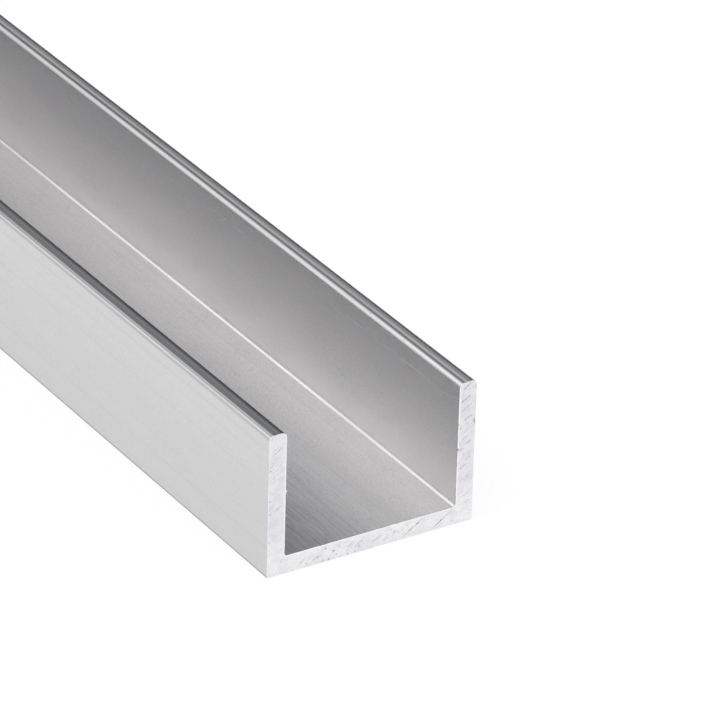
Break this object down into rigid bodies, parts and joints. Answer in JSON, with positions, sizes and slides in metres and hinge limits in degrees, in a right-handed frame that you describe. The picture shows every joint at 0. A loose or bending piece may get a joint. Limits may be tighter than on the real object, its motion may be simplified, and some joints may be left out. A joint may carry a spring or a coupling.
{
  "type": "metal channel section",
  "caption": "Straight aluminium U-channel in mill finish: a flat web between upright flanges of the same wall, sawn square at its ends.",
  "frame": {"origin": "centre of the underside of the web, halfway along the stock", "axes": "+Y along the stock, +Z out of the groove, +X across the web"},
  "size_m": [0.0382, 1, 0.0254],
  "materials": {
    "mill_aluminium": "mill finish as extruded, with fine lines along the stock and saw marks on the cut ends"
  },
  "bodies": {
    "root": {"channel": "mill_aluminium"}
  },
  "joints": []
}
